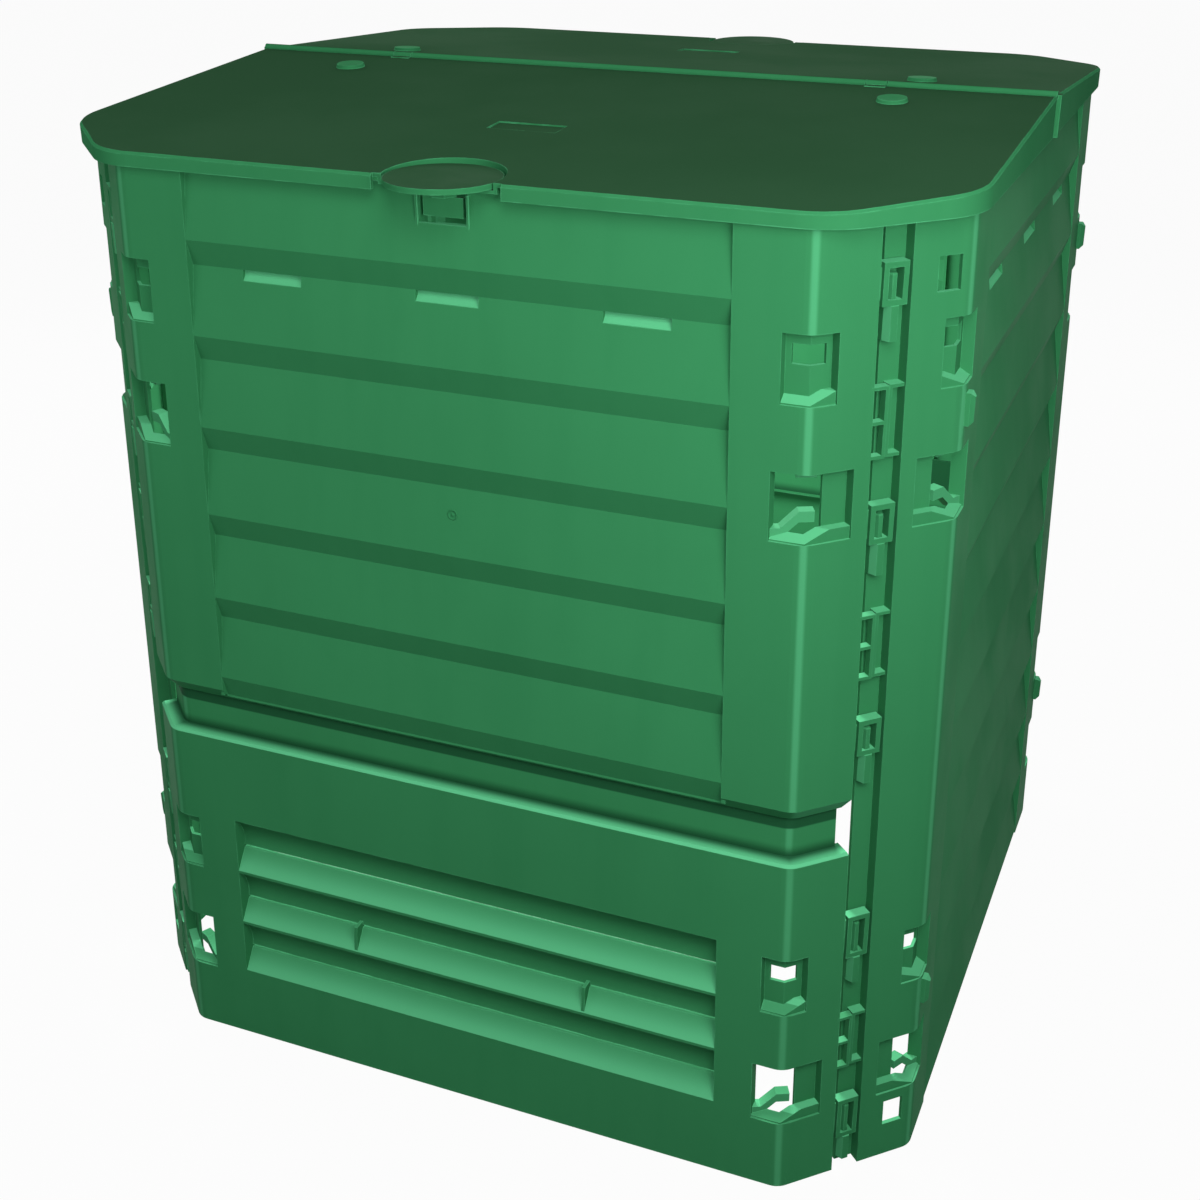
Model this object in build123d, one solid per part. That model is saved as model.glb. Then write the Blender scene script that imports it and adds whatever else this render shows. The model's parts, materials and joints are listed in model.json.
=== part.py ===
"""Octagonal garden compost bin: hooked wall panels, two lift-out flaps and a folding two-part lid.

Millimetres. Origin at the centre of the base, +Z up, the front faces -Y.
"""
from build123d import *
import math
import os

# Walls: a tapering octagon with folded corner flanges
base_half = 370.0
top_half = 352.3
base_fold = 281.4
top_fold = 267.4
rim_level = 784.0
wall_top = 790.0
wall = 3.5
fold_radius = 18.0

# Corner groove between two panels, and the tongue that backs it
groove = 24.0
edge_return = 9.0
tongue_depth = 10.0
tongue_gap = 8.0

# Weatherboard slats on every wall
slat_first = 736.0
slat_pitch = 73.0
slat_depth = 7.0
slat_undercut = 20.0
field_margin = 56.0
step_wall = 3.0

# Vent slots under the first slat
vent_spacing = 144.0
vent_width = 50.0
vent_height = 8.0
hood_reach = 7.0

# Lower edge of the front and rear panels
panel_bottom = 358.0
lip_depth = 8.5
lip_wall = 2.5
lip_height = 11.0

# Removal flaps
ledge_level = 311.0
ledge_round = 2.0
neck_clearance = 1.5
neck_wall = 3.0
neck_overlap = 14.0

# Louvre rows in the flaps
louvre_top = 230.0
louvre_rows = 3
louvre_pitch = 53.8
louvre_margin = 57.0
louvre_depth = 12.0
cove_height = 31.0
louvre_slot = 2.5
louvre_edge = 2.4
louvre_wall = 3.0
web_row = 2
web_offset = 107.0
web_width = 3.0
web_inset = 0.5
web_top_inset = 2.5

# Fold windows: height of the lower edge, height, reach on the face, reach on the flange
upper_slot_window = (668.5, 49.0, 21.0, 20.0)
upper_strap_window = (570.0, 51.0, 26.0, 36.0)
lower_slot_window = (172.5, 52.0, 20.0, 19.0)
lower_strap_window = (65.0, 55.0, 25.0, 36.0)
window_reach = 14.0
pocket_depth = 9.0
pocket_shell = 2.5
slot_level = 33.0
slot_height = 14.0
slot_margin = 4.5
strap_opening = 17.0
sill_wall = 3.0
sill_slope = 30.0
strap_wall = 8.0
strap_depth = 9.0
strap_rise = 12.0
strap_foot = 0.13
strap_head = 0.36
strap_end = 0.56
tab_place = 0.43
tab_length = 6.0
tab_width = 14.0
tab_wall = 3.5

# Square holes and bevelled stops on the side panels
square_hole = 18.0
square_hole_height = 24.0
square_hole_inset = 10.0
square_hole_levels = (748.0, 44.0)
stop_levels = (650.0, 158.0)
stop_size = (9.0, 24.0)
stop_height = 6.0
stop_inset = 8.0

# Corner loops, bosses and pins
upper_loop_levels = (760.0, 591.5, 423.0)
upper_loop_height = 29.5
flap_loop_levels = (251.5, 71.5)
flap_loop_height = 39.0
loop_width = 19.0
loop_bar = 4.0
loop_front = 0.5
loop_depth = 9.0
boss_radius = 5.5
boss_height = 24.0
pin_radius = 2.8
pin_in_boss = 18.0
pin_below_bar = 4.0
pin_fit = 0.05
pin_clearance = 0.3
flap_seat_gap = 0.3

# Ladder bars that close the groove between the loops
ladder_levels = (650.5, 482.0)
flap_ladder_level = 130.0
ladder_height = 52.0
ladder_bar = 2.5
ladder_depth = 6.5
ladder_gap = 1.0

# Lid halves
lid_half = 358.0
lid_fold = 279.0
lid_corner_radius = 60.0
skirt_bottom = 787.0
eave_level = 798.0
ridge_level = 819.0
lid_wall = 3.0
lid_bevel = 1.8
ridge_gap = 4.0
rest_offset = 238.0
side_rest_offset = 120.0
rest_wall = 3.0
rest_length = 12.0
rest_gap = 0.3

# Ridge hinge
hinge_level = 819.5
bead_radius = 3.2
knuckle_offset = 215.0
knuckle_width = 17.0
knuckle_gap = 0.5
web_reach = 9.0
hinge_pin_radius = 1.6
hinge_pin_flat = 1.3
hinge_pin_length = 60.0
rain_lip = 3.0
rain_lip_gap = 0.3

# Lid buffers and the shallow plate recess
buffer_offset = 240.0
buffer_setback = 52.0
buffer_radius = 12.5
buffer_height = 2.8
buffer_top_radius = 11.5
buffer_stem = 4.0
buffer_stem_length = 5.0
recess_width = 56.0
recess_length = 22.0
recess_depth = 1.2
recess_setback = 207.0

# Quarter-turn latches
latch_setback = 345.0
disc_radius = 42.0
disc_top = 797.6
disc_wall = 4.0
disc_gap = 2.0
pocket_wall = 2.5
pocket_gap = 0.5
skirt_notch_half = 49.5
stem_radius = 7.0
stem_clearance = 0.08
drive_radius = 5.2
drive_floor = 1.0
key_width = 31.0
key_wall = 4.0
key_bottom = 769.8
key_top = 784.0
key_hub_radius = 8.5
hub_gap = 0.3
key_side_gap = 2.8
key_drop_gap = 4.8
keeper_reach = 11.0
keeper_wall = 4.0
keeper_height = 4.0

FOLD_TURN = 45.0
CORNER_TURN = 45.0
SLANT = math.tan(math.radians(FOLD_TURN / 2))
DIAG = math.sqrt(0.5)
neck_setback = lip_depth + lip_wall + neck_clearance


def half(z):
    """Half the width across the walls at height z."""
    return base_half - (base_half - top_half) * z / rim_level


def fold(z):
    """Half the distance between two folds of a wall at height z."""
    return base_fold - (base_fold - top_fold) * z / rim_level


def flange(z):
    """Length of a corner flange, from the fold to the edge of the groove."""
    return (half(z) - fold(z)) / DIAG / 2 - groove / 2


def corner_point(z, along, depth):
    """Plan point on the right corner: along the flange from its fold, and in from its face."""
    return (fold(z) + DIAG * (along - depth), -half(z) + DIAG * (along + depth))


def prism(outline, low, high):
    """Solid between two heights, whose plan is outline(z) at each."""
    sections = [Pos(0, 0, z) * Polygon(*outline(z), align=None) for z in (low, high)]
    return loft(sections, ruled=True)


def mirrored(points):
    """A plan outline of the right half, closed by its mirror image on the left."""
    return points + [(-x, y) for x, y in reversed(points)]


def both_ends(shapes):
    """Features of a panel's right end, and their mirror images on its left end."""
    return shapes + [mirror(shape, about=Plane.YZ) for shape in shapes]


def wall_section(z, end, setback, thickness):
    """Plan of a folded wall; end is plain, return or tongue."""
    length = flange(z) - setback * SLANT
    inner = setback + thickness
    edge = corner_point(z, length, setback)
    inner_edge = corner_point(z, length - thickness, inner)
    if end == "return":
        tip = [edge, corner_point(z, length, edge_return)]
        tip += [corner_point(z, length - thickness, edge_return), inner_edge]
    elif end == "tongue":
        reach = length + groove - tongue_gap
        floor = tongue_depth + thickness
        tip = [edge, corner_point(z, length, tongue_depth), corner_point(z, reach, tongue_depth)]
        tip += [corner_point(z, reach, floor), corner_point(z, length - thickness, floor), inner_edge]
    else:
        tip = [edge, corner_point(z, length, inner)]
    outer_fold = (fold(z) - setback * SLANT, -half(z) + setback)
    inner_fold = (fold(z) - inner * SLANT, -half(z) + inner)
    section = make_face(Polyline(*mirrored([outer_fold] + tip + [inner_fold]), close=True))
    places = [Vector(*point) for point in mirrored([outer_fold])]
    sharp = [v for v in section.vertices() if min((Vector(v) - p).length for p in places) < 0.01]
    return Pos(0, 0, z) * fillet(sharp, fold_radius)


def folded_wall(low, high, end="plain", setback=0.0, thickness=wall):
    """A folded wall between two heights."""
    sections = [wall_section(z, end, setback, thickness) for z in (low, high)]
    return loft(sections, ruled=True)


def field_half(z):
    """Half the width of the slatted field."""
    return fold(z) - field_margin


def slat_surface(z):
    """Depth of the weatherboard surface behind the wall's face."""
    drop = (slat_first - z) % slat_pitch
    if drop < slat_undercut:
        return slat_depth * drop / slat_undercut
    return slat_depth * (slat_pitch - drop) / (slat_pitch - slat_undercut)


def slat_line(low, high):
    """Depth and height along the weatherboard surface, from the top down."""
    first = math.floor((slat_first - high) / slat_pitch)
    last = math.ceil((slat_first - low) / slat_pitch)
    edges = [slat_first - i * slat_pitch for i in range(first, last + 1)]
    levels = [z for edge in edges for z in (edge, edge - slat_undercut) if low + 1 < z < high - 1]
    return [(slat_surface(z), z) for z in [high] + levels + [low]]


def leaning(points):
    """Side-view points of depth and height, set against the leaning wall."""
    return [(-half(z) + depth, z) for depth, z in points]


def side_view(points, width):
    """Solid of a side-view outline, running across the wall."""
    return extrude(Plane.YZ * Polygon(*points, align=None), amount=width, both=True)


def closing_wall(z, side, depth):
    """Plan of the thin wall that closes the right end of a recessed field."""
    front = -half(z) + wall / 2
    back = -half(z) + depth
    return [(side, front), (side + step_wall, front), (side + step_wall, back), (side, back)]


def slat_field(low, high):
    """Opening for the field, and the boards with the step walls at their ends."""

    def opening(z):
        return mirrored([(field_half(z), -half(z) - wall), (field_half(z), -half(z) + 3 * slat_depth)])

    def step(z):
        return closing_wall(z, field_half(z), slat_depth + wall)

    line = slat_line(low, high)
    board = leaning(line) + [(y + wall, z) for y, z in reversed(leaning(line))]
    hole = prism(opening, low, high)
    boards = side_view(board, base_half) & hole
    return hole, [boards] + both_ends([prism(step, low, high)])


def vents(high):
    """Vent slots under the first slat, with the sloping hoods behind them."""
    crest = high - slat_undercut
    sill = crest - vent_height
    back = slat_depth + wall
    slot = [(-wall, crest), (-wall, sill), (back, sill), (back, crest)]
    cut = side_view(leaning(slot), vent_width / 2)
    foot = sill - wall
    tip = back + hood_reach
    hood = [(slat_depth, foot), (tip, crest), (tip - wall, crest), (slat_depth, foot + wall)]
    shade = side_view(leaning(hood), vent_width / 2 + wall)
    places = [Pos(i * vent_spacing, 0, 0) for i in (-1, 0, 1)]
    return [place * cut for place in places], [place * shade for place in places]


def fold_window(spec, strapped):
    """Opening across the right fold, and the pocket, sill and strap set behind it."""
    low, height, face_reach, flange_reach = spec
    high = low + height

    def layer(z, front, back, spare=0.0, reach=flange_reach):
        face = fold(z) - face_reach - spare
        ends = []
        for depth in (front, back):
            nose = (fold(z) - depth * SLANT, depth - half(z))
            ends.append([(face, depth - half(z)), nose, corner_point(z, reach + spare, depth)])
        return ends[0] + ends[1][::-1]

    def opening(z):
        return layer(z, -window_reach, window_reach)

    def case(z):
        return layer(z, wall / 2, pocket_depth + pocket_shell, pocket_shell)

    def inside(z):
        return layer(z, 0, pocket_depth)

    def back_opening(z):
        if strapped:
            return layer(z, wall, 2 * pocket_depth, 0, strap_opening)
        return layer(z, wall, 2 * pocket_depth, -slot_margin)

    cutter = prism(opening, low, high)
    ledge = prism(lambda z: layer(z, wall / 2, pocket_depth), low - sill_wall, low + pocket_depth)
    slope = Pos(fold(low), -half(low), low) * Rot(sill_slope, 0, FOLD_TURN / 2)
    ledge -= slope * Box(base_half, base_half, height, align=(Align.CENTER, Align.CENTER, Align.MIN))
    cup = prism(case, low - sill_wall, high + sill_wall) - prism(inside, low, high)
    if not strapped:
        slot = prism(back_opening, low + slot_level - slot_height / 2, low + slot_level + slot_height / 2)
        return cutter, [cup - slot, ledge]

    start = Vector(fold(low) - face_reach, wall - half(low))
    end = Vector(*corner_point(low, flange_reach, wall))
    run = (end - start).normalized()
    span = (end - start).length
    bench = Plane(origin=(start.X, start.Y, low), x_dir=(run.X, run.Y, 0), z_dir=(run.Y, -run.X, 0))
    line = [(-wall / 2, 0), (strap_foot * span, 0)]
    line += [(strap_head * span, strap_rise), (strap_end * span, strap_rise)]
    ribbon = Polygon(*line, *[(x, y + strap_wall) for x, y in reversed(line)], align=None)
    strap = extrude(bench * ribbon, amount=-strap_depth)
    hook = Rectangle(tab_width, tab_length + sill_wall, align=(Align.CENTER, Align.MIN))
    tab = extrude(bench * (Pos(tab_place * span, height - tab_length) * hook), amount=-tab_wall)
    return cutter, [cup - prism(back_opening, low, high), ledge, strap, tab]


def at_corner(z, shape):
    """A shape drawn as (along, in, up) about the middle of the groove, set at the right corner."""
    middle = corner_point(z, flange(z) + groove / 2, 0)
    return Pos(middle[0], middle[1], 0) * Rot(0, 0, CORNER_TURN) * shape


def block(along, depth, height):
    """A box between pairs of limits."""
    size = [pair[1] - pair[0] for pair in (along, depth, height)]
    centre = [(pair[1] + pair[0]) / 2 for pair in (along, depth, height)]
    return Pos(*centre) * Box(*size)


pin_depth = loop_front + loop_depth / 2


def six_flats(radius, low, high):
    """An upright six-sided bar, measured across its flats."""
    outline = RegularPolygon(radius, 6, major_radius=False)
    return Pos(0, 0, low) * extrude(outline, amount=high - low)


def on_pin_axis(radius, low, high):
    """A pin or its hole, in the corner's own frame."""
    return Pos(0, pin_depth, 0) * six_flats(radius, low, high)


def loop(top, height):
    """A hooking loop with its arm; its lower bar has the hole for the pin."""
    low = top - height
    back = loop_front + loop_depth
    frame = block((-loop_width / 2, loop_width / 2), (loop_front, back), (low, top))
    inner = loop_width / 2 - loop_bar
    frame -= block((-inner, inner), (-back, 2 * back), (low + loop_bar, top - loop_bar))
    frame -= on_pin_axis(pin_radius + pin_clearance, low - loop_bar, low + loop_bar)
    reach = (-groove / 2 - wall / 2, -loop_width / 2)
    arm = block(reach, (wall, edge_return), (low + loop_bar, top - loop_bar))
    return at_corner(low, frame + arm)


def ladder(level):
    """Open bars along the edge of a front or rear wall."""
    reach = -ladder_gap / 2
    depth = (loop_front, loop_front + ladder_depth)
    low = level - ladder_height / 2
    high = level + ladder_height / 2
    bars = [block((reach - ladder_bar, reach), depth, (low, high))]
    for z in (low, level - ladder_bar / 2, high - ladder_bar):
        bars.append(block((-groove / 2 - wall / 2, reach), depth, (z, z + ladder_bar)))
    return at_corner(level, bars[0] + bars[1:])


def pocket(level):
    """The mating bars on the tongue of a side wall."""
    reach = -ladder_gap / 2
    depth = (loop_front + wall / 2, tongue_depth + wall / 2)
    low = level - ladder_height / 2
    high = level + ladder_height / 2
    bars = [block((reach - ladder_bar, reach), depth, (low, high))]
    for z in (low, high - ladder_bar):
        bars.append(block((-groove / 2 - wall / 2, reach), depth, (z, z + ladder_bar)))
    return at_corner(level, bars[0] + bars[1:])


def boss(top, seat_gap):
    """A boss on the tongue, under a loop whose lower side is at top."""
    head = top - seat_gap
    back = tongue_depth + wall / 2
    side = [(boss_radius, back), (boss_radius, pin_depth), (boss_radius / 2, pin_depth - boss_radius)]
    body = extrude(Polygon(*mirrored(side), align=None), amount=boss_height, dir=(0, 0, 1))
    body = Pos(0, 0, head - boss_height) * body
    return at_corner(top, body - on_pin_axis(pin_radius + pin_fit, head - pin_in_boss, head))


def corner_pin(top, height, seat_gap):
    """An upright pin: in its boss, through the loop's lower bar, with a bevelled tip."""
    low = top - height - seat_gap - pin_in_boss
    tip = top - loop_bar - pin_below_bar
    pin = on_pin_axis(pin_radius, low, tip)
    return at_corner(top - height, chamfer(pin.edges().group_by(Axis.Z)[-1], pin_radius / 3))


loops = [(top, upper_loop_height, 0.0) for top in upper_loop_levels]
loops += [(top, flap_loop_height, flap_seat_gap) for top in flap_loop_levels]
key_room = key_width / 2 + key_side_gap


def latch_notch():
    """The notch in the wall's top edge that the latch key hangs in."""
    low = key_bottom - key_drop_gap
    depth = (-half(low) - wall, -half(low) + 3 * slat_depth)
    return block((-key_room, key_room), depth, (low, 2 * wall_top))


def latch_keeper():
    """Bar behind the notch, under which the turned key locks."""
    inside = keeper_reach - latch_setback
    height = (wall_top - keeper_height, wall_top)
    outer = key_room + wall
    frame = block((-outer, outer), (-latch_setback, inside + keeper_wall), height)
    return frame - block((-key_room, key_room), (-2 * latch_setback, inside), (0, 2 * wall_top))


def front_wall():
    """Upper wall with its loops, drawn as the front one."""
    body = folded_wall(panel_bottom, wall_top, "return")
    hole, boards = slat_field(panel_bottom - lip_height / 2, wall_top)
    slots, hoods = vents(slat_first)
    lip_bottom = panel_bottom - lip_height
    lip_sections = [
        wall_section(panel_bottom, "plain", 0, wall),
        wall_section(lip_bottom, "plain", lip_depth, lip_wall),
    ]
    lip = loft(lip_sections, ruled=True)
    line = slat_line(lip_bottom - wall, panel_bottom + wall)
    before = leaning(line + [(-wall, line[-1][1]), (-wall, line[0][1])])
    lip -= side_view(before, field_half(panel_bottom))
    cuts = slots + [latch_notch()]
    adds = [latch_keeper()]
    for spec, strapped in ((upper_slot_window, False), (upper_strap_window, True)):
        cutter, pieces = fold_window(spec, strapped)
        cuts += both_ends([cutter])
        adds += both_ends(pieces)
    adds += both_ends([loop(top, upper_loop_height) for top in upper_loop_levels])
    adds += both_ends([ladder(level) for level in ladder_levels])
    return (body - hole + boards + lip) - cuts + hoods + adds


def louvre_strip(row):
    """Side view of the strip between two louvre slots: the lip of one row and the cove of the next."""
    edge = louvre_top - row * louvre_pitch
    lip_low = edge + louvre_edge
    lip_high = lip_low + louvre_pitch - cove_height - louvre_slot - louvre_edge
    cove_low = edge - cove_height
    return edge, lip_low, lip_high, cove_low


def strip_face(row):
    """Face of one louvre strip, in depth and height against the wall."""
    edge, lip_low, lip_high, cove_low = louvre_strip(row)
    last = row == louvre_rows
    front = [(louvre_depth, lip_high), (0, lip_low), (0, edge)]
    if row == 0:
        front = [(0, edge + louvre_wall), (0, edge)]
    if last:
        front = [(louvre_depth, lip_high), (0, lip_low), (0, lip_low - louvre_wall)]
    back = [(depth + louvre_wall, z) for depth, z in front]
    start = leaning(front)
    end = leaning(back)
    if last:
        return make_face(Polyline(*start, *reversed(end), close=True))
    knee = (louvre_depth * DIAG, edge - cove_height * (1 - DIAG))
    cove = [knee, (louvre_depth, cove_low)]
    inner = [(depth + louvre_wall, z) for depth, z in cove]
    outer_arc = ThreePointArc(start[-1], *leaning(cove))
    inner_arc = ThreePointArc(end[-1], *leaning(inner))
    tip = Line(outer_arc @ 1, inner_arc @ 1)
    heel = Line(end[0], start[0])
    return make_face([Polyline(*start), outer_arc, tip, inner_arc, Polyline(*end), heel])


def louvres():
    """Opening for the louvre rows, and their strips, end walls and webs."""
    low = louvre_strip(louvre_rows)[1]

    def opening(z):
        side = fold(z) - louvre_margin
        return mirrored([(side, -half(z) - wall), (side, -half(z) + 2 * louvre_depth)])

    def end_wall(z):
        return closing_wall(z, fold(z) - louvre_margin, louvre_depth + louvre_wall)

    hole = prism(opening, low, louvre_top)
    reach = prism(opening, low - louvre_wall, louvre_top + louvre_wall)
    faces = [Plane.YZ * strip_face(row) for row in range(louvre_rows + 1)]
    strips = [extrude(face, amount=base_half, both=True) & reach for face in faces]
    edge, lip_low, lip_high, cove_low = louvre_strip(web_row)
    back = louvre_depth + louvre_wall
    low_edge = lip_high - louvre_wall
    high_edge = lip_high + louvre_slot + louvre_wall
    web = [(web_inset, lip_low), (web_top_inset, high_edge), (back, high_edge)]
    web += [(back, low_edge), (louvre_depth, low_edge)]
    rib = side_view(leaning(web), web_width / 2)
    webs = [Pos(side * web_offset, 0, 0) * rib for side in (1, -1)]
    return hole, strips + webs + both_ends([prism(end_wall, low, louvre_top)])


def flap():
    """Lower flap with its neck, ledge and louvres, drawn as the front one."""
    body = folded_wall(0, ledge_level - wall, "return")
    hole, strips = louvres()
    shelf = neck_setback + neck_wall
    ledge = folded_wall(ledge_level - wall, ledge_level - ledge_round, "plain", 0, shelf)
    top_sections = [
        wall_section(ledge_level - ledge_round, "plain", 0, shelf),
        wall_section(ledge_level, "plain", ledge_round, shelf - ledge_round),
    ]
    ledge += loft(top_sections, ruled=True)
    neck_top = panel_bottom + neck_overlap
    neck = folded_wall(ledge_level, neck_top, "plain", neck_setback, neck_wall)
    cuts = [hole]
    adds = []
    for spec, strapped in ((lower_slot_window, False), (lower_strap_window, True)):
        cutter, pieces = fold_window(spec, strapped)
        cuts += both_ends([cutter])
        adds += both_ends(pieces)
    adds += both_ends([loop(top, flap_loop_height) for top in flap_loop_levels])
    adds += both_ends([ladder(flap_ladder_level)])
    return (body + ledge + neck) - cuts + strips + adds


def side_wall():
    """Full-height side wall with tongues and bosses, drawn as if it faced the front."""
    body = folded_wall(0, wall_top, "tongue")
    hole, boards = slat_field(0, wall_top)
    slots, hoods = vents(slat_first)
    cuts = list(slots)
    adds = list(hoods)
    windows = [(upper_slot_window, False), (upper_strap_window, True)]
    windows += [(lower_slot_window, False), (lower_strap_window, True)]
    for spec, strapped in windows:
        cutter, pieces = fold_window(spec, strapped)
        cuts += both_ends([cutter])
        adds += both_ends(pieces)
    for level in square_hole_levels:
        near = flange(level) + groove / 2
        along = (square_hole_inset - near, square_hole_inset + square_hole - near)
        height = (level - square_hole_height / 2, level + square_hole_height / 2)
        cuts += both_ends([at_corner(level, block(along, (-wall, 2 * wall), height))])
    for level in stop_levels:
        stop = Box(stop_size[0], 2 * stop_height, stop_size[1])
        stop = chamfer(stop.faces().sort_by(Axis.Y)[0].edges(), stop_size[0] / 3)
        adds += both_ends([Pos(fold(level) - stop_inset, -half(level), level) * stop])
    adds += both_ends([boss(top - height, gap) for top, height, gap in loops])
    bars = list(ladder_levels) + [flap_ladder_level]
    adds += both_ends([pocket(level) for level in bars])
    return (body - hole + boards) - cuts + adds


def roof(y):
    """Height of the lid's top surface at distance y from the ridge, y being negative."""
    return ridge_level + (ridge_level - eave_level) * y / lid_half


def lid_outline(inset, back):
    """Rounded plan of the front lid half, inset by a wall, closed at y = back."""
    side = lid_half - inset
    corner = lid_fold - inset * SLANT
    section = make_face(Polyline(*mirrored([(side, back), (side, -corner), (corner, -side)]), close=True))
    sharp = section.vertices().filter_by(lambda v: v.Y < back - 1)
    return fillet(sharp, lid_corner_radius - inset)


def lid_block(inset, back, drop):
    """Solid under the sloping roof, lowered by drop."""
    body = Pos(0, 0, skirt_bottom) * extrude(lid_outline(inset, back), amount=ridge_level)
    far = -2 * lid_half
    sky = [(far, roof(far) - drop), (lid_half, roof(lid_half) - drop)]
    sky += [(lid_half, 3 * ridge_level), (far, 3 * ridge_level)]
    return body - side_view(sky, 2 * lid_half)


roof_slope = math.degrees(math.atan((ridge_level - eave_level) / lid_half))
disc_bottom = disc_top - disc_wall
floor_top = disc_bottom - pocket_gap
floor_bottom = floor_top - pocket_wall
hub_top = floor_bottom - hub_gap
drive_end = key_top + drive_floor


def on_roof(x, setback):
    """Frame on the lid's top surface, upright to it."""
    return Pos(x, -setback, roof(-setback)) * Rot(roof_slope, 0, 0)


def on_latch_axis(shape):
    """A shape drawn on the Z axis, set on the latch axis."""
    return Pos(0, -latch_setback, 0) * shape


def upright(radius, low, high):
    """A vertical cylinder on the latch axis."""
    return on_latch_axis(Pos(0, 0, (low + high) / 2) * Cylinder(radius, high - low))


def lid_half_shell():
    """Lid half without its hinge, drawn as the front one."""
    solid = lid_block(0, -ridge_gap, 0)
    rim = solid.faces().sort_by(Axis.Z)[-1].edges().filter_by(lambda e: e.center().Y < -2 * ridge_gap)
    solid = chamfer(rim, lid_bevel)
    shell = solid - lid_block(lid_wall, 0, lid_wall)
    height = (wall_top + rest_gap, ridge_level)
    rests = []
    for side in (-1, 1):
        along = (side * rest_offset - rest_wall / 2, side * rest_offset + rest_wall / 2)
        rests.append(block(along, (-lid_half, rest_length - lid_half), height))
        edge = sorted((side * lid_half, side * (lid_half - rest_length)))
        rests.append(block(edge, (-side_rest_offset - rest_wall, -side_rest_offset), height))
    shell += [rest & solid for rest in rests]
    cup = upright(disc_radius + disc_gap + pocket_wall, floor_bottom, ridge_level) & solid
    shell += cup
    shell -= upright(disc_radius + disc_gap, floor_top, 2 * ridge_level)
    front_skirt = (-2 * lid_half, lid_wall - lid_half)
    shell -= block((-skirt_notch_half, skirt_notch_half), front_skirt, (0, 2 * ridge_level))
    shell -= upright(stem_radius + stem_clearance, 0, ridge_level)
    recess = Box(recess_width, recess_length, 2 * recess_depth)
    shell -= on_roof(0, recess_setback) * recess
    hole = six_flats(buffer_stem + pin_fit, -2 * lid_wall, lid_wall)
    return shell - [on_roof(side * buffer_offset, buffer_setback) * hole for side in (-1, 1)]


def along_ridge(radius, start, end):
    """A cylinder on the hinge axis."""
    return Pos((start + end) / 2, 0, hinge_level) * Rot(0, 90, 0) * Cylinder(radius, end - start)


def ridge_web(start, end):
    """The strip that joins a knuckle or bead to the lid plate."""
    low = hinge_level - bead_radius
    return block((start, end), (-web_reach, 0), (low, low + lid_wall))


def knuckle_span(side):
    """Limits of a front knuckle along the ridge."""
    return side * knuckle_offset - knuckle_width / 2, side * knuckle_offset + knuckle_width / 2


def front_lid_half():
    """Front lid with its two hinge knuckles."""
    lid = lid_half_shell()
    for side in (-1, 1):
        start, end = knuckle_span(side)
        knuckle = along_ridge(bead_radius, start, end) + ridge_web(start, end)
        lid += knuckle - along_ridge(hinge_pin_radius + pin_fit, start, end)
    return lid


def rear_lid_half():
    """Rear lid with the ridge bead and the rain lips at its ends, drawn as the front one."""
    lid = lid_half_shell()
    stops = [-lid_half]
    for side in (-1, 1):
        start, end = knuckle_span(side)
        stops += [start - knuckle_gap, end + knuckle_gap]
    stops.append(lid_half)
    for start, end in zip(stops[::2], stops[1::2]):
        lid += along_ridge(bead_radius, start, end) + ridge_web(start, end)
    for side in (-1, 1):
        edge = sorted((side * (lid_half - lid_wall), side * (lid_half + rain_lip)))
        lid += block(edge, (-2 * ridge_gap, -rain_lip_gap), (skirt_bottom, hinge_level))
    return lid - [pin_ends(side, pin_fit) for side in (-1, 1)]


def pin_ends(side, clearance):
    """The six-sided ends of a hinge pin, or with a clearance their socket in the bead."""
    reach = hinge_pin_length / 2
    bar = Rot(0, 90, 0) * six_flats(hinge_pin_flat + clearance, -reach, reach)
    return Pos(side * knuckle_offset, 0, hinge_level) * bar


def hinge_pin(side):
    """Hinge pin, round where the front knuckle turns on it and six-sided in the bead."""
    return pin_ends(side, 0) + along_ridge(hinge_pin_radius, *knuckle_span(side))


def lid_buffer():
    """Push-in buffer: tapered head and six-sided stem, drawn on the lid's surface."""
    head = Pos(0, 0, buffer_height / 2) * Cone(buffer_radius, buffer_top_radius, buffer_height)
    return head + six_flats(buffer_stem, -buffer_stem_length, 0)


def latch_disc():
    """Latch knob: flat disc, round stem and the six-sided end that drives the key."""
    disc = upright(disc_radius, disc_bottom, disc_top) + upright(stem_radius, hub_top, disc_bottom)
    return disc + on_latch_axis(six_flats(drive_radius, drive_end, hub_top))


def latch_key():
    """Latch key: hub on the knob's six-sided end, and the flat key under it."""
    hub = six_flats(key_hub_radius, key_top, hub_top) - six_flats(drive_radius + pin_fit, drive_end, hub_top)
    across = (-key_width / 2, key_width / 2)
    depth = (-latch_setback - key_wall / 2, key_wall / 2 - latch_setback)
    return on_latch_axis(hub) + block(across, depth, (key_bottom, key_top))


front = Rot(0, 0, 0)
right = Rot(0, 0, 90)
rear = Rot(0, 0, 180)
left = Rot(0, 0, -90)

wall_shape = front_wall()
flap_shape = flap()
side_shape = side_wall()
disc_shape = latch_disc()
key_shape = latch_key()
buffers = [on_roof(side * buffer_offset, buffer_setback) * lid_buffer() for side in (-1, 1)]
pins = [corner_pin(*spec) for spec in loops]


def group(turn, shapes):
    """Separate solids that share a node, turned to their side of the bin."""
    return Compound(children=[turn * shape for shape in shapes])


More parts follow.
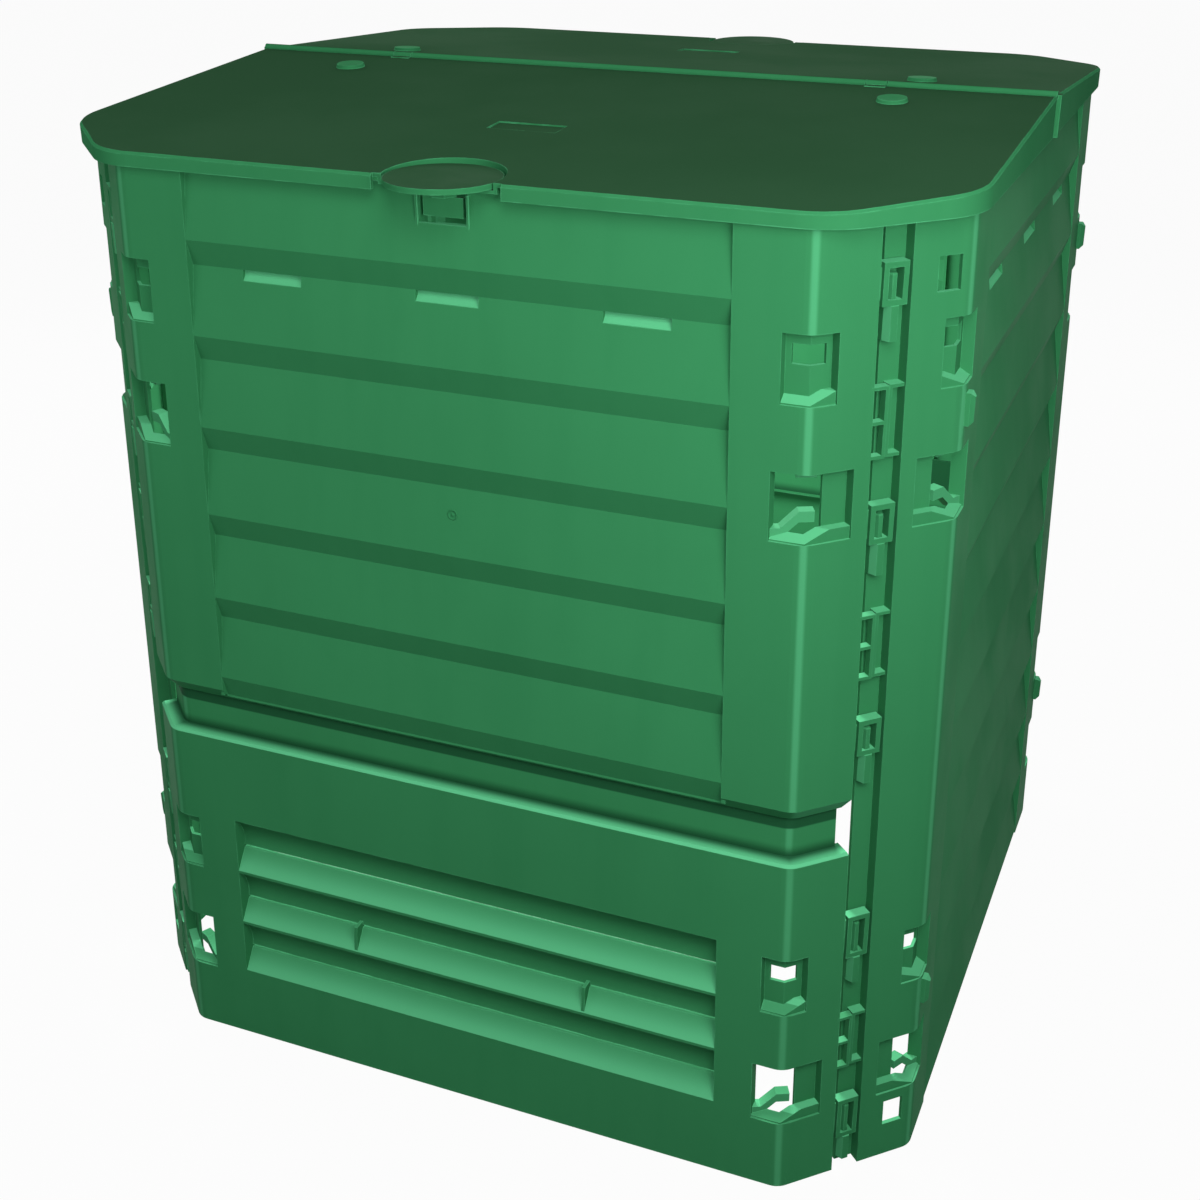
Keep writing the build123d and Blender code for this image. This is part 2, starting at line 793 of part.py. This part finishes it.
nodes = {
    "front_panel": wall_shape,
    "rear_panel": rear * wall_shape,
    "left_panel": left * side_shape,
    "right_panel": right * side_shape,
    "front_flap": flap_shape,
    "rear_flap": rear * flap_shape,
    "front_lid": front_lid_half(),
    "rear_lid": rear * rear_lid_half(),
    "left_hinge_pin": hinge_pin(-1),
    "right_hinge_pin": hinge_pin(1),
    "front_lid_buffers": group(front, buffers),
    "rear_lid_buffers": group(rear, buffers),
    "front_latch_disc": disc_shape,
    "rear_latch_disc": rear * disc_shape,
    "front_latch_key": key_shape,
    "rear_latch_key": rear * key_shape,
}
corners = {"front_right": front, "rear_right": right, "rear_left": rear, "front_left": left}
for name, turn in corners.items():
    nodes[name + "_corner_pins"] = group(turn, pins)

os.makedirs("parts", exist_ok=True)
for name, shape in nodes.items():
    export_step(shape, f"parts/{name}.step")
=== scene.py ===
"""Studio scene of a green moulded compost bin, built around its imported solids."""
import json
import math

import bmesh
import bpy
from mathutils import Matrix, Vector


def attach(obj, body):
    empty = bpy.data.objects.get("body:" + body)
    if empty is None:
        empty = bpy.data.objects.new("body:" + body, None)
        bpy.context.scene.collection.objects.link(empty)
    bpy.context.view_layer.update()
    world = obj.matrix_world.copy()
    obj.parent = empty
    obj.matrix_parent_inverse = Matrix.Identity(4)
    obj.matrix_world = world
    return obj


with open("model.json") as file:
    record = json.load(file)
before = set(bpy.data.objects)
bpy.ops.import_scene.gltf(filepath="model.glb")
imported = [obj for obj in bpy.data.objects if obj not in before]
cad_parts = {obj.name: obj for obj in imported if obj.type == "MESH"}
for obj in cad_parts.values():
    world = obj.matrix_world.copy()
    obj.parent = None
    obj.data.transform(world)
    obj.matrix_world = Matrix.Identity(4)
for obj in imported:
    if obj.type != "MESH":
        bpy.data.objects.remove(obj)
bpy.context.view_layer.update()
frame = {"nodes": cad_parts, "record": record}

# Camera, in millimetres, metres and degrees
LENS_MM = 50.65
SENSOR_MM = 36.0
CAMERA_AT = (0.5447, -1.3806, 1.0438)
CAMERA_YAW = 22.53
CAMERA_DOWN = 26.05
CAMERA_ROLL = -0.22
VIEW_LIMIT = 100.0

# Floor and surroundings
WHITE = (1.0, 1.0, 1.0, 1.0)
FLOOR_SPAN = 30.0
FLOOR_GLOW = 0.96
FLOOR_GREY = 0.4
FLOOR_ROUGHNESS = 0.9
AMBIENT = 0.05

# Lamps: two high ones in front, of which the fill throws no shadow, two low ones at the front corners,
# one behind and one to the left that give no sheen, and one inside that lights the vents and windows
LAMPS = {
    "high_softbox": {
        "place": (0.85, -1.75, 2.15), "target": (0.0, -0.2, 0.5), "size": (1.1, 1.1), "power": 23.0,
    },
    "high_fill": {
        "place": (0.6, -1.5, 2.4), "target": (0.0, -0.2, 0.4), "size": (1.1, 1.1), "power": 24.0,
        "shadow": False,
    },
    "low_right_softbox": {
        "place": (0.62, -0.78, 0.88), "target": (0.2, -0.3, 0.68), "size": (0.4, 0.3), "power": 4.2,
    },
    "low_left_softbox": {
        "place": (-0.55, -0.85, 0.82), "target": (0.0, -0.3, 0.5), "size": (0.4, 0.3), "power": 1.0,
    },
    "rear_softbox": {
        "place": (0.15, 2.1, 1.4), "target": (0.0, 0.0, 0.45), "size": (1.2, 0.9), "power": 21.0,
        "sheen": False,
    },
    "left_softbox": {
        "place": (-1.9, 1.0, 1.4), "target": (0.0, 0.0, 0.45), "size": (1.2, 0.9), "power": 26.0,
        "sheen": False,
    },
    "inner_softbox": {
        "place": (0.0, 0.0, 0.72), "target": (0.0, 0.0, 0.0), "size": (0.3, 0.3), "power": 7.0,
    },
}

# Greens of the moulded plastic, among them greens painted for shade, highlights and shadow
GREEN = (0.029, 0.185, 0.070)
# Painted shade: tops of the lid and latch drawn darker, as if turned from the light
SHADED_TOP_GREEN = (0.0175, 0.051, 0.0225)
# Painted highlight green for up-slanting ledges, louvre lips and folds, and the paler green of worn edges
HIGHLIGHT_AND_WEAR_GREEN = (0.09, 0.42, 0.2)
DEEP_GREEN = (0.014, 0.135, 0.046)
# Painted shadow green for the top band and the corner of a flap's neck
SHADOW_GREEN = (0.010, 0.066, 0.026)
GATE_GREEN = (0.024, 0.160, 0.060)

# Skin of the plastic: grain, clouds of darker pigment and streaks along the flow
GRAIN_SCALE = 900.0
GRAIN_NOISE = {"detail": 3.0, "roughness": 0.6}
GRAIN_STRENGTH = 0.16
GRAIN_HEIGHT = 0.0004
CLOUD_SCALE = 7.0
CLOUD_NOISE = {"detail": 5.0, "roughness": 0.55}
CLOUD_RANGE = (0.3, 0.7)
CLOUD_DEPTH = 0.86
STREAK_STRETCH = (38.0, 38.0, 2.2)
STREAK_NOISE = {"detail": 3.0, "roughness": 0.5}
STREAK_RANGE = (0.42, 0.75)
STREAK_SHARE = 0.12
GLOSS = 0.008
SMOOTHER = 0.05
ROUGHER = 0.06

# Rubbed edges, worn and painted paler as a highlight: width, the turn of the rounded normal that counts,
# and the places that break them up
WEAR_WIDTH = 0.0015
WEAR_SAMPLES = 4
WEAR_TURN = (0.99, 0.82)
WEAR_SCALE = 55.0
WEAR_NOISE = {"detail": 4.0, "roughness": 0.6}
WEAR_RANGE = (0.3, 0.7)

# Painted shade on upper faces and painted light on ledges, by how far they look up; painted highlight on
# folds, by how far they turn from a wall to its flange
UPPER_RANGE = (0.93, 0.98)
LEDGE_RANGE = (0.4, 0.62)
FOLD_RISE = (0.16, 0.3)
FOLD_FALL = (0.47, 0.38)

# Painted light on the louvre lips of a flap: lowest edge, pitch, height, and the share of pale green left
# at their shaded top
LIP_FOOT = 0.071
LIP_PITCH = 0.0538
LIP_HEIGHT = 0.018
LIP_FADE = 0.3
LOUVRE_TOP = 0.23

# Painted shadow on a flap's neck: the band in the shadow of the wall's lower edge and the shaded corner
# above the ledge
NECK_BAND = (0.3345, 0.336)
NECK_REACH = 0.3505
FLANGE_SHIFT = 0.0887
LEDGE_LEVEL = 0.311
LEDGE_SPARE = 0.0005
CORNER_SHADE = 0.0105

# Moulded edge radius
EDGE_ROUND = 0.0007
EDGE_SEGMENTS = 2
EDGE_ANGLE = 38.0

# Cup behind the notch of a wall, which the latch key turns in
CUP_HALF = 0.0187
CUP_WALL = 0.0024
CUP_FRONT = -0.3495
CUP_TURN = -0.3415
CUP_DEPTH = 0.0137
CUP_FULLNESS = 0.6
CUP_BOTTOM = 0.7585
CUP_FLOOR = 0.761
CUP_TOP = 0.7862
CUP_STEPS = 14

# Gate mark left by moulding in the middle of the front and rear walls: radius and height
GATE_LEVEL = 0.549
GATE_PROFILE = (
    (0.0, 0.0005), (0.0009, 0.0004), (0.0012, 0.0001), (0.0029, 0.0001),
    (0.0033, 0.0006), (0.0038, 0.0006), (0.0043, 0.0), (0.0043, -0.0004),
)
GATE_STEPS = 36


def new_group(name, inputs, outputs):
    """An empty shader node group with named sockets for numbers."""
    group = bpy.data.node_groups.new(name, "ShaderNodeTree")
    for label, value in inputs.items():
        socket = group.interface.new_socket(label, in_out="INPUT", socket_type="NodeSocketFloat")
        socket.default_value = value
    for label in outputs:
        group.interface.new_socket(label, in_out="OUTPUT", socket_type="NodeSocketFloat")
    start = group.nodes.new("NodeGroupInput")
    end = group.nodes.new("NodeGroupOutput")
    return group, start, end


def coordinates(tree, kind):
    """A piece's own coordinates, Object for places and Normal for directions."""
    return tree.nodes.new("ShaderNodeTexCoord").outputs[kind]


def axes(tree, kind):
    """The X, Y and Z of a piece's own coordinates."""
    split = tree.nodes.new("ShaderNodeSeparateXYZ")
    tree.links.new(coordinates(tree, kind), split.inputs["Vector"])
    return split.outputs["X"], split.outputs["Y"], split.outputs["Z"]


def noise(tree, place, scale, detail, roughness):
    """A noise texture; scale is a number or a socket."""
    node = tree.nodes.new("ShaderNodeTexNoise")
    node.inputs["Detail"].default_value = detail
    node.inputs["Roughness"].default_value = roughness
    tree.links.new(place, node.inputs["Vector"])
    if isinstance(scale, float):
        node.inputs["Scale"].default_value = scale
    else:
        tree.links.new(scale, node.inputs["Scale"])
    return node.outputs["Fac"]


def spread(tree, value, low, high, to_low=0.0, to_high=1.0):
    """Maps a stretch of values to another, with smooth ends."""
    node = tree.nodes.new("ShaderNodeMapRange")
    node.interpolation_type = "SMOOTHSTEP"
    for label, number in (("From Min", low), ("From Max", high), ("To Min", to_low), ("To Max", to_high)):
        node.inputs[label].default_value = number
    tree.links.new(value, node.inputs["Value"])
    return node.outputs["Result"]


def combine(tree, operation, first, second=0.0):
    """A Math node on sockets or numbers."""
    node = tree.nodes.new("ShaderNodeMath")
    node.operation = operation
    for socket, value in zip(node.inputs, (first, second)):
        if isinstance(value, float):
            socket.default_value = value
        else:
            tree.links.new(value, socket)
    return node.outputs["Value"]


def moulded_skin_group():
    """Surface of a moulded piece: satin grain, cloudy pigment and flow streaks."""
    group, start, end = new_group(
        "moulded_skin",
        {"Grain Scale": GRAIN_SCALE, "Cloud Scale": CLOUD_SCALE},
        ["Grain", "Cloud", "Streak"],
    )
    place = coordinates(group, "Object")
    grain = noise(group, place, start.outputs["Grain Scale"], **GRAIN_NOISE)
    group.links.new(grain, end.inputs["Grain"])
    cloud = noise(group, place, start.outputs["Cloud Scale"], **CLOUD_NOISE)
    group.links.new(spread(group, cloud, *CLOUD_RANGE), end.inputs["Cloud"])
    stretch = group.nodes.new("ShaderNodeMapping")
    stretch.inputs["Scale"].default_value = STREAK_STRETCH
    group.links.new(place, stretch.inputs["Vector"])
    streak = noise(group, stretch.outputs["Vector"], 1.0, **STREAK_NOISE)
    group.links.new(spread(group, streak, *STREAK_RANGE), end.inputs["Streak"])
    return group


def mask_group(name, draw):
    """A node group that puts out one mask at a strength; draw adds the mask's nodes."""
    group, start, end = new_group(name, {"Strength": 1.0}, ["Mask"])
    mask = combine(group, "MULTIPLY", draw(group), start.outputs["Strength"])
    group.links.new(mask, end.inputs["Mask"])
    return group


def wear_and_edge_highlight(group):
    """Rubbed edges, worn and painted as a highlight, by how far a rounded normal turns from the true one.
    """
    round_off = group.nodes.new("ShaderNodeBevel")
    round_off.samples = WEAR_SAMPLES
    round_off.inputs["Radius"].default_value = WEAR_WIDTH
    surface = group.nodes.new("ShaderNodeNewGeometry")
    turn = group.nodes.new("ShaderNodeVectorMath")
    turn.operation = "DOT_PRODUCT"
    group.links.new(round_off.outputs["Normal"], turn.inputs[0])
    group.links.new(surface.outputs["Normal"], turn.inputs[1])
    edge = spread(group, turn.outputs["Value"], *WEAR_TURN)
    patches = noise(group, coordinates(group, "Object"), WEAR_SCALE, **WEAR_NOISE)
    return combine(group, "MULTIPLY", edge, spread(group, patches, *WEAR_RANGE))


def painted_top_shade(group):
    """Painted shade on faces that look up while the piece is at rest."""
    _, _, upward = axes(group, "Normal")
    return spread(group, upward, *UPPER_RANGE)


def painted_ledge_light(group):
    """Painted light on lips, sills and ledges that slant upwards."""
    _, _, upward = axes(group, "Normal")
    return spread(group, upward, *LEDGE_RANGE)


def painted_louvre_light(group):
    """Painted light on ledges of a flap, where each louvre lip grows paler towards its lower edge."""
    _, _, level = axes(group, "Object")
    rows = combine(group, "DIVIDE", combine(group, "SUBTRACT", level, LIP_FOOT), LIP_PITCH)
    climb = combine(group, "FRACT", rows)
    fade = spread(group, climb, 0.0, LIP_HEIGHT / LIP_PITCH, 1.0, LIP_FADE)
    over = combine(group, "GREATER_THAN", level, LOUVRE_TOP)
    return combine(group, "MULTIPLY", painted_ledge_light(group), combine(group, "MAXIMUM", fade, over))


def painted_fold_highlight(group):
    """Painted highlight along rounded upright folds between a wall and its flanges."""
    across, ahead, _ = axes(group, "Normal")
    turned = combine(group, "ABSOLUTE", combine(group, "MULTIPLY", across, ahead))
    return combine(group, "MULTIPLY", spread(group, turned, *FOLD_RISE), spread(group, turned, *FOLD_FALL))


def painted_neck_shadow(group):
    """Painted shadow on a flap's neck: the band at its top under the wall's edge, and the corner above the
    ledge.
    """
    across, ahead, level = axes(group, "Object")
    across = combine(group, "ABSOLUTE", across)
    ahead = combine(group, "ABSOLUTE", ahead)
    aslant = combine(group, "MULTIPLY", combine(group, "ADD", across, ahead), math.sqrt(0.5))
    reach = combine(group, "MAXIMUM", ahead, combine(group, "SUBTRACT", aslant, FLANGE_SHIFT))
    in_front = combine(group, "SUBTRACT", reach, NECK_REACH)
    above = combine(group, "SUBTRACT", level, LEDGE_LEVEL)
    corner = spread(group, combine(group, "MAXIMUM", in_front, above), CORNER_SHADE, 0.0)
    over_ledge = combine(group, "GREATER_THAN", level, LEDGE_LEVEL - LEDGE_SPARE)
    corner = combine(group, "MULTIPLY", corner, over_ledge)
    return combine(group, "MAXIMUM", corner, spread(group, level, *NECK_BAND))


MOULDED_SKIN = moulded_skin_group()
# Masks of painted light and shade: highlight on worn edges, shade on upper faces, light on ledges and
# louvre lips, highlight on folds, shadow on a flap's neck
WEAR_AND_EDGE_HIGHLIGHT = mask_group("wear_and_edge_highlight", wear_and_edge_highlight)
PAINTED_TOP_SHADE = mask_group("painted_top_shade", painted_top_shade)
PAINTED_LEDGE_LIGHT = mask_group("painted_ledge_light", painted_ledge_light)
PAINTED_LOUVRE_LIGHT = mask_group("painted_louvre_light", painted_louvre_light)
PAINTED_FOLD_HIGHLIGHT = mask_group("painted_fold_highlight", painted_fold_highlight)
PAINTED_NECK_SHADOW = mask_group("painted_neck_shadow", painted_neck_shadow)


def place_group(tree, group, values):
    """Outputs of a node group that is placed in a material with its own values."""
    node = tree.nodes.new("ShaderNodeGroup")
    node.node_tree = group
    for label, value in values.items():
        node.inputs[label].default_value = value
    return node.outputs


def blend_colour(tree, amount, first, second):
    """A colour between two, by a mask."""
    node = tree.nodes.new("ShaderNodeMix")
    node.data_type = "RGBA"
    tree.links.new(amount, node.inputs["Factor"])
    for label, value in (("A", first), ("B", second)):
        socket = next(s for s in node.inputs if s.name == label and s.type == "RGBA")
        if isinstance(value, tuple):
            socket.default_value = (*value, 1.0)
        else:
            tree.links.new(value, socket)
    return next(s for s in node.outputs if s.type == "RGBA")


def moulded_plastic(name, base=GREEN, roughness=0.56, grain=GRAIN_SCALE, cloud=CLOUD_SCALE, mottle=0.3,
                    wear_and_highlight=0.8, top=0.0, ledge_light_share=0.0, louvres=0.0, fold=0.0, neck_shadow_share=0.0):
    """Satin green plastic of one moulded piece.

    mottle is the share of darker pigment in its clouds. The last six are, in order, shares of another
    green:
    rubbed edges that are worn and also a painted highlight, painted shade on upper faces, painted light on
    ledges, painted light on the ledges and lips of a flap, a painted highlight along rounded folds and a
    painted shadow on a flap's neck.
    """
    material = bpy.data.materials.new(name)
    material.use_nodes = True
    tree = material.node_tree
    shader = tree.nodes["Principled BSDF"]
    shader.inputs["Specular IOR Level"].default_value = GLOSS
    skin = place_group(tree, MOULDED_SKIN, {"Grain Scale": grain, "Cloud Scale": cloud})
    deep = tuple(CLOUD_DEPTH * part for part in base)
    colour = blend_colour(tree, combine(tree, "MULTIPLY", skin["Cloud"], mottle), base, deep)
    streaks = combine(tree, "MULTIPLY", skin["Streak"], STREAK_SHARE)
    colour = blend_colour(tree, streaks, colour, DEEP_GREEN)
    # Painted shade, light, highlights and shadow, and worn edges, each laid over the colour by its mask
    for group, share, tint in (
        (PAINTED_TOP_SHADE, top, SHADED_TOP_GREEN),
        (PAINTED_LEDGE_LIGHT, ledge_light_share, HIGHLIGHT_AND_WEAR_GREEN),
        (PAINTED_LOUVRE_LIGHT, louvres, HIGHLIGHT_AND_WEAR_GREEN),
        (PAINTED_FOLD_HIGHLIGHT, fold, HIGHLIGHT_AND_WEAR_GREEN),
        (WEAR_AND_EDGE_HIGHLIGHT, wear_and_highlight, HIGHLIGHT_AND_WEAR_GREEN),
        (PAINTED_NECK_SHADOW, neck_shadow_share, SHADOW_GREEN),
    ):
        if share:
            mask = place_group(tree, group, {"Strength": share})["Mask"]
            colour = blend_colour(tree, mask, colour, tint)
    tree.links.new(colour, shader.inputs["Base Color"])
    uneven = spread(tree, skin["Cloud"], 0.0, 1.0, roughness - SMOOTHER, roughness + ROUGHER)
    tree.links.new(uneven, shader.inputs["Roughness"])
    bump = tree.nodes.new("ShaderNodeBump")
    bump.inputs["Strength"].default_value = GRAIN_STRENGTH
    bump.inputs["Distance"].default_value = GRAIN_HEIGHT
    tree.links.new(skin["Grain"], bump.inputs["Height"])
    tree.links.new(bump.outputs["Normal"], shader.inputs["Normal"])
    return material


# Walls get painted light on ledges and a painted highlight on folds; flaps painted light on louvre lips, a
# highlight on folds and a painted shadow on the neck; lids and latches painted shade on their tops
finishes = {
    "wall": moulded_plastic("wall_plastic", wear_and_highlight=0.35, ledge_light_share=0.75, fold=0.4),
    "flap": moulded_plastic("flap_plastic", mottle=0.35, louvres=1.0, fold=0.35, neck_shadow_share=0.95),
    "lid": moulded_plastic("lid_plastic", roughness=0.75, grain=650.0, cloud=5.0, top=0.9),
    "latch": moulded_plastic("latch_plastic", roughness=0.6, cloud=20.0, top=0.9),
    "buffer": moulded_plastic("buffer_plastic", roughness=0.6, cloud=40.0),
    "corner_pin": moulded_plastic("corner_pin_plastic", roughness=0.4, cloud=40.0),
    "hinge_pin": moulded_plastic("hinge_pin_plastic", roughness=0.4, cloud=40.0),
    "gate": moulded_plastic("gate_plastic", base=GATE_GREEN, cloud=60.0, wear_and_highlight=0.0),
}


def round_edges(piece):
    """A small moulded edge radius."""
    edge = piece.modifiers.new("moulded_edge", "BEVEL")
    edge.width = EDGE_ROUND
    edge.segments = EDGE_SEGMENTS
    edge.limit_method = "ANGLE"
    edge.angle_limit = math.radians(EDGE_ANGLE)
    edge.harden_normals = False


def dress_nodes():
    """Gives every CAD node its plastic and a small moulded edge radius."""
    slots = {part["node"]: part["material_slot"] for part in frame["record"]["subparts"]}
    for name, piece in frame["nodes"].items():
        piece.data.materials.clear()
        piece.data.materials.append(finishes[slots[name]])
        round_edges(piece)


def add_to_wall(name, points, faces, finish):
    """A moulded detail of the walls, from its points and faces."""
    mesh = bpy.data.meshes.new(name)
    mesh.from_pydata(points, [], faces)
    form = bmesh.new()
    form.from_mesh(mesh)
    bmesh.ops.recalc_face_normals(form, faces=form.faces)
    form.to_mesh(mesh)
    form.free()
    mesh.materials.append(finish)
    piece = bpy.data.objects.new(name, mesh)
    bpy.context.scene.collection.objects.link(piece)
    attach(piece, "shell")
    return piece


def cup_line(spare, level):
    """Plan line of the key cup, from its left edge round the back to its right edge."""
    half = CUP_HALF + spare
    line = [(-half, CUP_FRONT, level)]
    for step in range(CUP_STEPS + 1):
        angle = math.pi * (1 - step / CUP_STEPS)
        bulge = CUP_TURN + (CUP_DEPTH + spare) * math.sin(angle) ** CUP_FULLNESS
        line.append((half * math.cos(angle), bulge, level))
    return line + [(half, CUP_FRONT, level)]


def add_key_cup(name, spin):
    """Moulded cup behind a wall's notch, under the keeper bar."""
    lines = [cup_line(CUP_WALL, CUP_BOTTOM), cup_line(CUP_WALL, CUP_TOP)]
    lines += [cup_line(0.0, CUP_TOP), cup_line(0.0, CUP_FLOOR)]
    points = [spin @ Vector(point) for line in lines for point in line]
    count = len(lines[0])
    starts = [row * count for row in range(len(lines))]
    faces = []
    for row in starts[:-1]:
        for near in range(row, row + count - 1):
            faces.append((near, near + 1, near + 1 + count, near + count))
    faces.append(tuple(range(count)))
    faces.append(tuple(range(starts[-1], starts[-1] + count)))
    ends = [row + count - 1 for row in starts]
    faces.append(tuple(starts + ends[::-1]))
    round_edges(add_to_wall(name, points, faces, finishes["wall"]))


def add_gate_mark(name, wall, spin):
    """Ring and nub of the moulding gate, seated on a wall."""
    outside = spin @ Vector((0.0, -1.0, GATE_LEVEL))
    inwards = spin @ Vector((0.0, 1.0, 0.0))
    graph = bpy.context.evaluated_depsgraph_get()
    _, seat, normal, _ = frame["nodes"][wall].ray_cast(outside, inwards, depsgraph=graph)
    stand = Matrix.Translation(seat) @ normal.to_track_quat("Z", "Y").to_matrix().to_4x4()
    points = [stand @ Vector((0.0, 0.0, GATE_PROFILE[0][1]))]
    for radius, height in GATE_PROFILE[1:]:
        for step in range(GATE_STEPS):
            angle = 2 * math.pi * step / GATE_STEPS
            points.append(stand @ Vector((radius * math.cos(angle), radius * math.sin(angle), height)))
    faces = [(0, 1 + step, 1 + (step + 1) % GATE_STEPS) for step in range(GATE_STEPS)]
    for row in range(len(GATE_PROFILE) - 2):
        inner = 1 + row * GATE_STEPS
        outer = inner + GATE_STEPS
        for step in range(GATE_STEPS):
            after = (step + 1) % GATE_STEPS
            faces.append((inner + step, outer + step, outer + after, inner + after))
    faces.append(tuple(range(len(points) - GATE_STEPS, len(points))))
    mark = add_to_wall(name, points, faces, finishes["gate"])
    mark.data.shade_smooth()


def add_wall_details():
    """Key cups and gate marks of the front wall and of the rear one."""
    for side, turn in (("front", 0.0), ("rear", math.pi)):
        spin = Matrix.Rotation(turn, 4, "Z")
        add_key_cup(side + "_key_cup", spin)
        add_gate_mark(side + "_gate_mark", side + "_panel", spin)


def lit_white(tree, plain, white, amount):
    """Shows white to the camera and in reflections, and the plain shader to all other light."""
    path = tree.nodes.new("ShaderNodeLightPath")
    seen = combine(tree, "MAXIMUM", path.outputs["Is Camera Ray"], path.outputs["Is Glossy Ray"])
    seen = combine(tree, "MAXIMUM", seen, path.outputs["Is Transmission Ray"])
    mix = tree.nodes.new("ShaderNodeMixShader")
    tree.links.new(combine(tree, "MULTIPLY", seen, amount), mix.inputs["Fac"])
    tree.links.new(plain, mix.inputs[1])
    tree.links.new(white, mix.inputs[2])
    return mix.outputs["Shader"]


def make_floor():
    """Wide grey floor that looks almost pure white to the camera, so its shadow is very faint."""
    mesh = bpy.data.meshes.new("floor")
    side = FLOOR_SPAN / 2
    corners = [(-side, -side, 0), (side, -side, 0), (side, side, 0), (-side, side, 0)]
    mesh.from_pydata(corners, [], [(0, 1, 2, 3)])
    floor = bpy.data.objects.new("floor", mesh)
    bpy.context.scene.collection.objects.link(floor)
    material = bpy.data.materials.new("white_floor")
    material.use_nodes = True
    tree = material.node_tree
    shader = tree.nodes["Principled BSDF"]
    shader.inputs["Base Color"].default_value = (FLOOR_GREY, FLOOR_GREY, FLOOR_GREY, 1.0)
    shader.inputs["Roughness"].default_value = FLOOR_ROUGHNESS
    shader.inputs["Specular IOR Level"].default_value = 0.0
    glow = tree.nodes.new("ShaderNodeEmission")
    glow.inputs["Color"].default_value = WHITE
    result = lit_white(tree, shader.outputs["BSDF"], glow.outputs["Emission"], FLOOR_GLOW)
    tree.links.new(result, tree.nodes["Material Output"].inputs["Surface"])
    mesh.materials.append(material)


def make_world():
    """White surroundings, as white as the floor, with a low even light."""
    world = bpy.data.worlds.new("studio")
    bpy.context.scene.world = world
    world.use_nodes = True
    tree = world.node_tree
    dim = tree.nodes["Background"]
    dim.inputs["Color"].default_value = WHITE
    dim.inputs["Strength"].default_value = AMBIENT
    white = tree.nodes.new("ShaderNodeBackground")
    white.inputs["Color"].default_value = WHITE
    white.inputs["Strength"].default_value = FLOOR_GLOW
    result = lit_white(tree, dim.outputs["Background"], white.outputs["Background"], 1.0)
    tree.links.new(result, tree.nodes["World Output"].inputs["Surface"])


def add_lamp(name, place, target, size, power, shadow=True, sheen=True):
    """A soft area lamp at a place, facing a target and hidden from the camera itself."""
    light = bpy.data.lights.new(name, "AREA")
    light.use_shadow = shadow
    light.shape = "RECTANGLE"
    light.size, light.size_y = size
    light.energy = power
    lamp = bpy.data.objects.new(name, light)
    away = Vector(place) - Vector(target)
    lamp.matrix_world = Matrix.Translation(place) @ away.to_track_quat("Z", "Y").to_matrix().to_4x4()
    lamp.visible_camera = False
    lamp.visible_glossy = sheen
    bpy.context.scene.collection.objects.link(lamp)


def make_camera():
    """Camera at the photograph's angle."""
    camera = bpy.data.cameras.new("camera")
    camera.lens = LENS_MM
    camera.sensor_width = SENSOR_MM
    camera.clip_end = VIEW_LIMIT
    viewer = bpy.data.objects.new("camera", camera)
    turn = Matrix.Rotation(math.radians(CAMERA_YAW), 4, "Z")
    tilt = Matrix.Rotation(math.radians(90.0 - CAMERA_DOWN), 4, "X")
    roll = Matrix.Rotation(math.radians(CAMERA_ROLL), 4, "Z")
    viewer.matrix_world = Matrix.Translation(CAMERA_AT) @ turn @ tilt @ roll
    bpy.context.scene.collection.objects.link(viewer)
    bpy.context.scene.camera = viewer


dress_nodes()
add_wall_details()
make_floor()
make_world()
for lamp_name, lamp_facts in LAMPS.items():
    add_lamp(lamp_name, **lamp_facts)
make_camera()
bpy.context.scene.view_settings.view_transform = "Standard"
